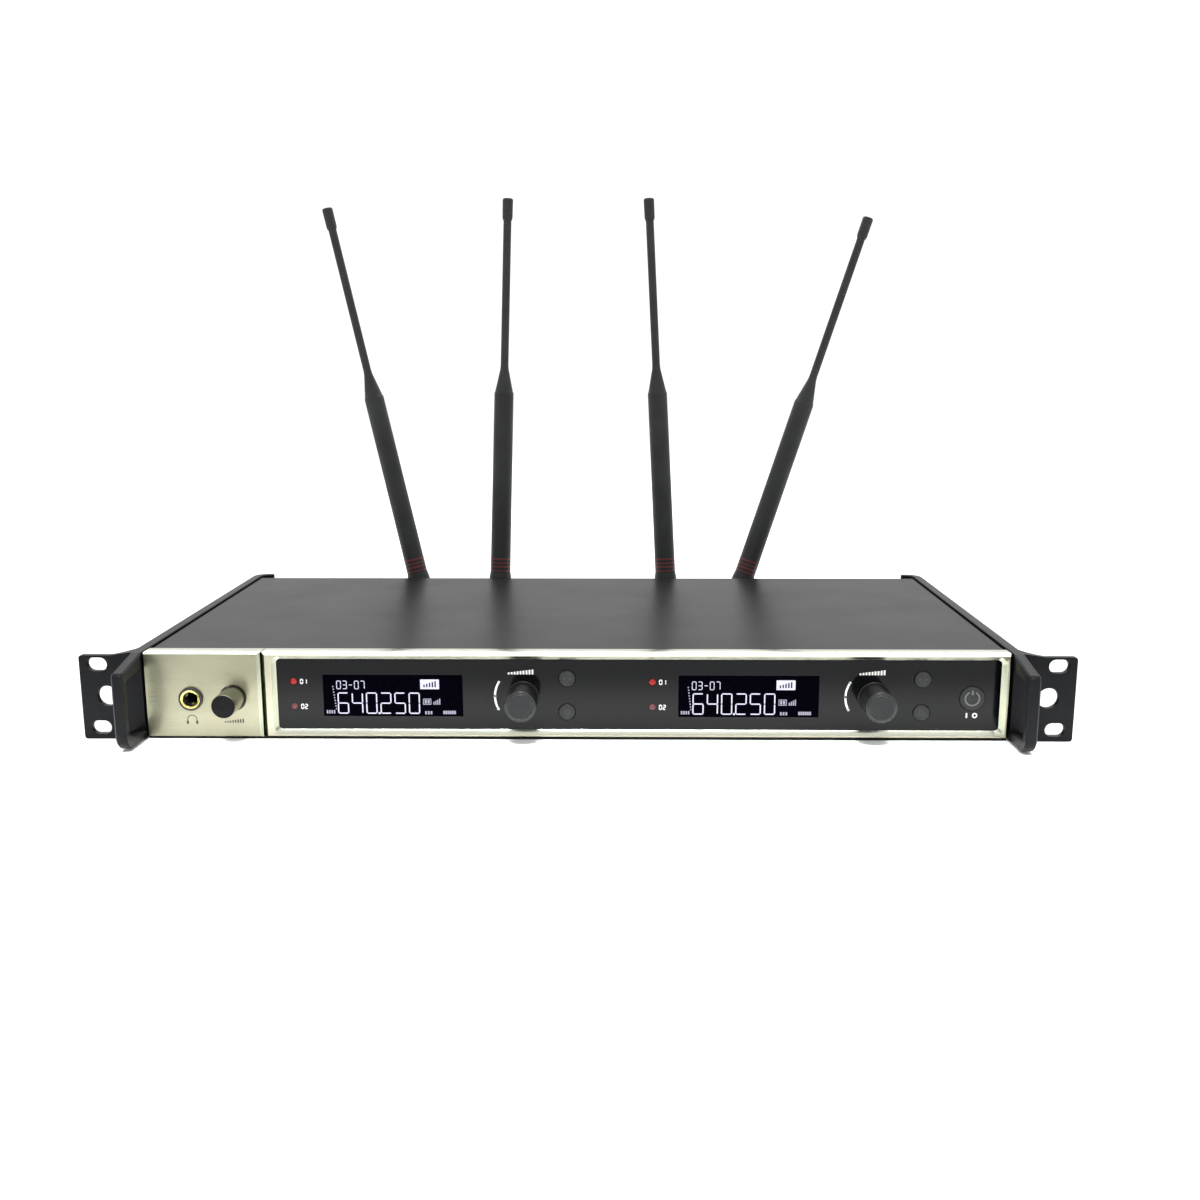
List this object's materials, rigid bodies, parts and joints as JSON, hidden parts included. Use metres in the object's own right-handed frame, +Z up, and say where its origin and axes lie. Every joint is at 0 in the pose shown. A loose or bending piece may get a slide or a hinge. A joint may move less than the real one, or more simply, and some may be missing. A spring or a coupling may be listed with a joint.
{
  "type": "rack wireless microphone receiver",
  "caption": "Slim rack-width wireless microphone receiver with handles on the rack ears, twin displays, knobs, buttons and folding rear antennas.",
  "frame": {"origin": "centre of the rack-ear slot pattern, on the ears' rear face", "axes": "+X to the right seen from the front, +Y to the rear, +Z up"},
  "size_m": [0.4826, 0.2567, 0.2797],
  "materials": {
    "black_aluminium": "satin black anodised",
    "black_steel": "fine satin black powder coat",
    "champagne": "brushed champagne anodised, bright bevels",
    "window_black": "gloss black acrylic",
    "display": "dark display glass",
    "lamp_red": "clear red lens",
    "knob_black": "satin black",
    "button_black": "satin black",
    "steel": "zinc-plated",
    "black_screw": "blackened",
    "nickel": "nickel-plated",
    "brass": "gold-plated",
    "black_connector": "moulded",
    "board_green": "solder mask",
    "tin": "tinned shield can",
    "ribbon_grey": "flat cable",
    "antenna_black": "matte charcoal with dark red rings"
  },
  "bodies": {
    "receiver": {"bottom_chassis": "black_steel", "top_cover": "black_steel", "rear_panel": "black_steel", "side_cheek_left": "black_aluminium", "side_cheek_right": "black_aluminium", "cheek_screws": "black_screw", "headphone_plate": "champagne", "display_frame": "champagne", "display_window": "window_black", "front_panel_screws": "black_screw", "lcd_module_left": "display", "lcd_module_right": "display", "status_lamps": "lamp_red", "front_board": "board_green", "main_board": "board_green", "receiver_module_left": "tin", "receiver_module_right": "tin", "board_standoffs": "steel", "board_screws": "steel", "ribbon_cable": "ribbon_grey", "headphone_jack": "brass", "headphone_jack_nut": "black_connector", "volume_pot": "steel", "encoder_left": "steel", "encoder_right": "steel", "push_switches": "black_connector", "line_output_jack": "black_connector", "line_output_nut": "nickel", "xlr_outputs": "black_connector", "power_inlet": "black_connector", "antenna_sockets": "nickel", "antenna_socket_nuts": "nickel", "rear_screws": "black_screw"},
    "volume_dial": {"volume_shaft": "steel", "volume_knob": "knob_black"},
    "encoder_dial_left": {"encoder_shaft_left": "steel", "encoder_knob_left": "knob_black"},
    "encoder_dial_right": {"encoder_shaft_right": "steel", "encoder_knob_right": "knob_black"},
    "upper_button_left": {"upper_button_left": "button_black"},
    "lower_button_left": {"lower_button_left": "button_black"},
    "upper_button_right": {"upper_button_right": "button_black"},
    "lower_button_right": {"lower_button_right": "button_black"},
    "power_button": {"power_button": "button_black"},
    "antenna_coupling_1": {"antenna_base_1": "black_connector", "antenna_pin_1": "steel"},
    "antenna_rod_1": {"antenna_mast_1": "antenna_black", "antenna_tip_1": "antenna_black"},
    "antenna_coupling_2": {"antenna_base_2": "black_connector", "antenna_pin_2": "steel"},
    "antenna_rod_2": {"antenna_mast_2": "antenna_black", "antenna_tip_2": "antenna_black"},
    "antenna_coupling_3": {"antenna_base_3": "black_connector", "antenna_pin_3": "steel"},
    "antenna_rod_3": {"antenna_mast_3": "antenna_black", "antenna_tip_3": "antenna_black"},
    "antenna_coupling_4": {"antenna_base_4": "black_connector", "antenna_pin_4": "steel"},
    "antenna_rod_4": {"antenna_mast_4": "antenna_black", "antenna_tip_4": "antenna_black"}
  },
  "joints": [
    {"name": "volume_knob_turn", "type": "hinge", "parent": "receiver", "child": "volume_dial", "pos_m": [-0.1671, 0, -0.0008], "axis": [0, 1, 0], "range_deg": [-150, 150]},
    {"name": "encoder_left_turn", "type": "hinge", "parent": "receiver", "child": "encoder_dial_left", "pos_m": [-0.0256, 0, 0], "axis": [0, 1, 0], "continuous": true},
    {"name": "encoder_right_turn", "type": "hinge", "parent": "receiver", "child": "encoder_dial_right", "pos_m": [0.1446, 0, 0], "axis": [0, 1, 0], "continuous": true},
    {"name": "upper_button_left_press", "type": "slide", "parent": "receiver", "child": "upper_button_left", "axis": [0, 1, 0], "range_m": [0, 0.0008], "stiffness_N_per_m": 300, "springref_m": -0.002},
    {"name": "lower_button_left_press", "type": "slide", "parent": "receiver", "child": "lower_button_left", "axis": [0, 1, 0], "range_m": [0, 0.0008], "stiffness_N_per_m": 300, "springref_m": -0.002},
    {"name": "upper_button_right_press", "type": "slide", "parent": "receiver", "child": "upper_button_right", "axis": [0, 1, 0], "range_m": [0, 0.0008], "stiffness_N_per_m": 300, "springref_m": -0.002},
    {"name": "lower_button_right_press", "type": "slide", "parent": "receiver", "child": "lower_button_right", "axis": [0, 1, 0], "range_m": [0, 0.0008], "stiffness_N_per_m": 300, "springref_m": -0.002},
    {"name": "power_button_press", "type": "slide", "parent": "receiver", "child": "power_button", "axis": [0, 1, 0], "range_m": [0, 0.0008], "stiffness_N_per_m": 300, "springref_m": -0.002},
    {"name": "antenna_1_swivel", "type": "hinge", "parent": "receiver", "child": "antenna_coupling_1", "pos_m": [-0.1075, 0.2215, 0], "axis": [0, 1, 0], "range_deg": [-77.9, 10.1]},
    {"name": "antenna_1_fold", "type": "hinge", "parent": "antenna_coupling_1", "child": "antenna_rod_1", "pos_m": [-0.1075, 0.2215, 0], "axis": [-0.9778, 0, -0.2096], "range_deg": [0, 90]},
    {"name": "antenna_2_swivel", "type": "hinge", "parent": "receiver", "child": "antenna_coupling_2", "pos_m": [-0.0578, 0.2215, 0], "axis": [0, 1, 0], "range_deg": [-10.1, 8.9]},
    {"name": "antenna_2_fold", "type": "hinge", "parent": "antenna_coupling_2", "child": "antenna_rod_2", "pos_m": [-0.0578, 0.2215, 0], "axis": [-0.9993, 0, 0.0366], "range_deg": [0, 90]},
    {"name": "antenna_3_swivel", "type": "hinge", "parent": "receiver", "child": "antenna_coupling_3", "pos_m": [0.0528, 0.2215, 0], "axis": [0, 1, 0], "range_deg": [-8, 11]},
    {"name": "antenna_3_fold", "type": "hinge", "parent": "antenna_coupling_3", "child": "antenna_rod_3", "pos_m": [0.0528, 0.2215, 0], "axis": [-0.9986, 0, -0.0523], "range_deg": [0, 90]},
    {"name": "antenna_4_swivel", "type": "hinge", "parent": "receiver", "child": "antenna_coupling_4", "pos_m": [0.0975, 0.2215, 0], "axis": [0, 1, 0], "range_deg": [-15.7, 72.3]},
    {"name": "antenna_4_fold", "type": "hinge", "parent": "antenna_coupling_4", "child": "antenna_rod_4", "pos_m": [0.0975, 0.2215, 0], "axis": [-0.9527, 0, 0.304], "range_deg": [0, 90]}
  ]
}
